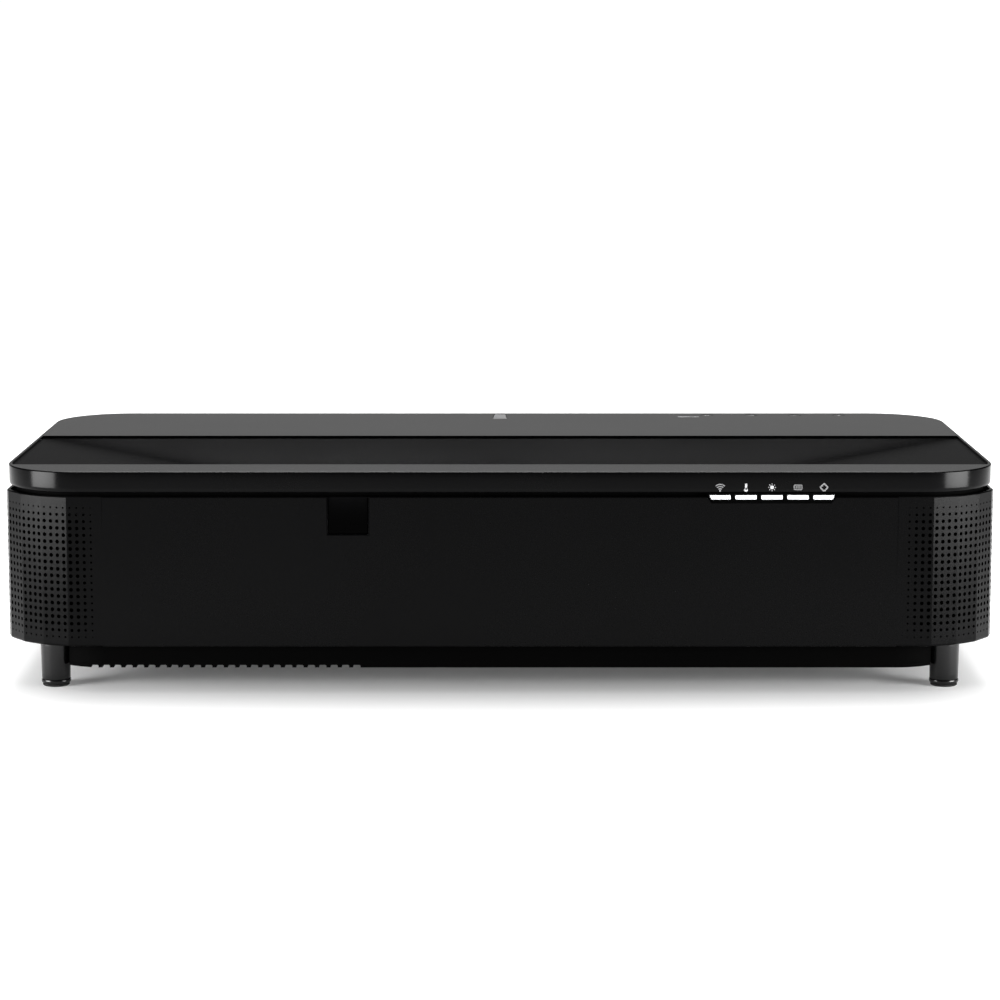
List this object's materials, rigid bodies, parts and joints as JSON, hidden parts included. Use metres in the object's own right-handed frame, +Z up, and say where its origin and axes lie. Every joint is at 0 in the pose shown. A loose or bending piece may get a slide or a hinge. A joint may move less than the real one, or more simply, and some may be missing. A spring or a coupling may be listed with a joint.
{
  "type": "home projector",
  "caption": "Black ultra-short-throw home projector: wide flat box with rounded perforated corners, a separate top cover with a shallow valley, and adjustable feet.",
  "frame": {"origin": "centre of the outline, on the floor that the feet stand on", "axes": "+X to the right seen from the front, +Y to the rear, +Z up; the front faces -Y"},
  "size_m": [0.695, 0.341, 0.156],
  "materials": {
    "satin_black": "satin dark paint",
    "case_black": "fine satin moulding",
    "valley_black": "smooth satin",
    "base_black": "matt",
    "dark_gloss": "glossy",
    "window_glass": "dark coated glass",
    "lens_glass": "polished",
    "light_white": "lit diffuser",
    "sensor_grey": "translucent",
    "board_green": "solder mask",
    "steel": "plated",
    "brass": "turned",
    "copper": "drawn copper",
    "alloy": "die-cast",
    "fin_alloy": "extruded",
    "mirror_face": "front-surface mirror",
    "phosphor": "phosphor coating on a disc",
    "fan_black": "glass-filled moulding",
    "filter_paper": "pleated",
    "pad_rubber": "matt",
    "cone_paper": "pressed cone"
  },
  "bodies": {
    "projector": {"top_cover": "satin_black", "valley_insert": "valley_black", "projection_window": "window_glass", "seam_band": "base_black", "sensor_window": "sensor_grey", "front_panel": "case_black", "corner_grilles": "case_black", "left_side_panel": "case_black", "right_side_panel": "case_black", "rear_panel": "case_black", "case_bottom": "case_black", "base_pan": "base_black", "receiver_window": "dark_gloss", "status_light_tray": "base_black", "status_lenses": "light_white", "button_board": "board_green", "terminal_bay": "base_black", "hdmi_sockets": "steel", "usb_sockets": "steel", "audio_jacks": "dark_gloss", "mains_inlet": "base_black", "main_board": "board_green", "power_board": "board_green", "fan_frames": "fan_black", "heat_sink": "fin_alloy", "heat_pipes": "copper", "laser_module": "alloy", "wheel_housing": "alloy", "optical_block": "alloy", "lens_barrel": "alloy", "front_lens": "lens_glass", "focus_motor": "steel", "concave_mirror": "mirror_face", "mirror_bracket": "alloy", "speaker_boxes": "fan_black", "speaker_drivers": "cone_paper", "threaded_inserts": "brass", "base_screws": "steel"},
    "power_button": {"power_button": "satin_black"},
    "source_button": {"source_button": "satin_black"},
    "volume_down_button": {"volume_down_button": "satin_black"},
    "volume_up_button": {"volume_up_button": "satin_black"},
    "filter_door": {"filter_door": "case_black", "air_filter": "filter_paper"},
    "filter_latch": {"filter_latch": "case_black"},
    "cable_cover": {"cable_cover": "case_black"},
    "front_exhaust_impeller": {"front_exhaust_impeller": "fan_black"},
    "rear_exhaust_impeller": {"rear_exhaust_impeller": "fan_black"},
    "intake_impeller": {"intake_impeller": "fan_black"},
    "phosphor_wheel": {"phosphor_wheel": "phosphor"},
    "focus_ring": {"focus_ring": "brass"},
    "focus_pinion": {"focus_pinion": "brass"},
    "front_left_pad": {"front_left_foot_pad": "pad_rubber"},
    "front_left_leg": {"front_left_foot_leg": "dark_gloss"},
    "front_right_pad": {"front_right_foot_pad": "pad_rubber"},
    "front_right_leg": {"front_right_foot_leg": "dark_gloss"},
    "rear_left_pad": {"rear_left_foot_pad": "pad_rubber"},
    "rear_left_leg": {"rear_left_foot_leg": "dark_gloss"},
    "rear_right_pad": {"rear_right_foot_pad": "pad_rubber"},
    "rear_right_leg": {"rear_right_foot_leg": "dark_gloss"}
  },
  "joints": [
    {"name": "front_left_foot_slide", "type": "slide", "parent": "projector", "child": "front_left_pad", "axis": [0, 0, -1], "range_m": [0, 0.009]},
    {"name": "front_left_foot_turn", "type": "hinge", "parent": "front_left_pad", "child": "front_left_leg", "pos_m": [-0.314, -0.1405, 0.02], "axis": [0, 0, -1], "range_deg": [0, 2600]},
    {"name": "front_right_foot_slide", "type": "slide", "parent": "projector", "child": "front_right_pad", "axis": [0, 0, -1], "range_m": [0, 0.009]},
    {"name": "front_right_foot_turn", "type": "hinge", "parent": "front_right_pad", "child": "front_right_leg", "pos_m": [0.314, -0.1405, 0.02], "axis": [0, 0, -1], "range_deg": [0, 2600]},
    {"name": "rear_left_foot_slide", "type": "slide", "parent": "projector", "child": "rear_left_pad", "axis": [0, 0, -1], "range_m": [0, 0.009]},
    {"name": "rear_left_foot_turn", "type": "hinge", "parent": "rear_left_pad", "child": "rear_left_leg", "pos_m": [-0.314, 0.1405, 0.02], "axis": [0, 0, -1], "range_deg": [0, 2600]},
    {"name": "rear_right_foot_slide", "type": "slide", "parent": "projector", "child": "rear_right_pad", "axis": [0, 0, -1], "range_m": [0, 0.009]},
    {"name": "rear_right_foot_turn", "type": "hinge", "parent": "rear_right_pad", "child": "rear_right_leg", "pos_m": [0.314, 0.1405, 0.02], "axis": [0, 0, -1], "range_deg": [0, 2600]},
    {"name": "power_button_press", "type": "slide", "parent": "projector", "child": "power_button", "axis": [0, 0, -1], "range_m": [0, 0.0008], "stiffness_N_per_m": 400, "springref_m": -0.0005},
    {"name": "source_button_press", "type": "slide", "parent": "projector", "child": "source_button", "axis": [0, 0, -1], "range_m": [0, 0.0008], "stiffness_N_per_m": 400, "springref_m": -0.0005},
    {"name": "volume_down_button_press", "type": "slide", "parent": "projector", "child": "volume_down_button", "axis": [0, 0, -1], "range_m": [0, 0.0008], "stiffness_N_per_m": 400, "springref_m": -0.0005},
    {"name": "volume_up_button_press", "type": "slide", "parent": "projector", "child": "volume_up_button", "axis": [0, 0, -1], "range_m": [0, 0.0008], "stiffness_N_per_m": 400, "springref_m": -0.0005},
    {"name": "filter_door_pull", "type": "slide", "parent": "projector", "child": "filter_door", "axis": [1, 0, 0], "range_m": [0, 0.06]},
    {"name": "filter_latch_press", "type": "slide", "parent": "filter_door", "child": "filter_latch", "axis": [0, 0, -1], "range_m": [0, 0.003], "stiffness_N_per_m": 300, "springref_m": -0.001},
    {"name": "cable_cover_pull", "type": "slide", "parent": "projector", "child": "cable_cover", "axis": [0, 1, 0], "range_m": [0, 0.04]},
    {"name": "front_exhaust_spin", "type": "hinge", "parent": "projector", "child": "front_exhaust_impeller", "pos_m": [-0.326, -0.045, 0.084], "axis": [1, 0, 0], "continuous": true},
    {"name": "rear_exhaust_spin", "type": "hinge", "parent": "projector", "child": "rear_exhaust_impeller", "pos_m": [-0.326, 0.045, 0.084], "axis": [1, 0, 0], "continuous": true},
    {"name": "intake_spin", "type": "hinge", "parent": "projector", "child": "intake_impeller", "pos_m": [0.31, 0, 0.084], "axis": [1, 0, 0], "continuous": true},
    {"name": "phosphor_wheel_spin", "type": "hinge", "parent": "projector", "child": "phosphor_wheel", "pos_m": [-0.104, 0.085, 0.091], "axis": [1, 0, 0], "continuous": true},
    {"name": "focus_turn", "type": "hinge", "parent": "projector", "child": "focus_ring", "pos_m": [0, 0, 0.092], "axis": [0, 1, 0], "range_deg": [-25, 25]},
    {"name": "focus_pinion_turn", "type": "hinge", "parent": "projector", "child": "focus_pinion", "pos_m": [0.02947, 0, 0.11754], "axis": [0, 1, 0], "range_deg": [-138, 138]}
  ],
  "couplings": [
    {"joint": "front_left_foot_turn", "follows": "front_left_foot_slide", "rad_per_m": 5026.5},
    {"joint": "front_right_foot_turn", "follows": "front_right_foot_slide", "rad_per_m": 5026.5},
    {"joint": "rear_left_foot_turn", "follows": "rear_left_foot_slide", "rad_per_m": 5026.5},
    {"joint": "rear_right_foot_turn", "follows": "rear_right_foot_slide", "rad_per_m": 5026.5},
    {"joint": "focus_pinion_turn", "follows": "focus_turn", "ratio": -5.5}
  ]
}
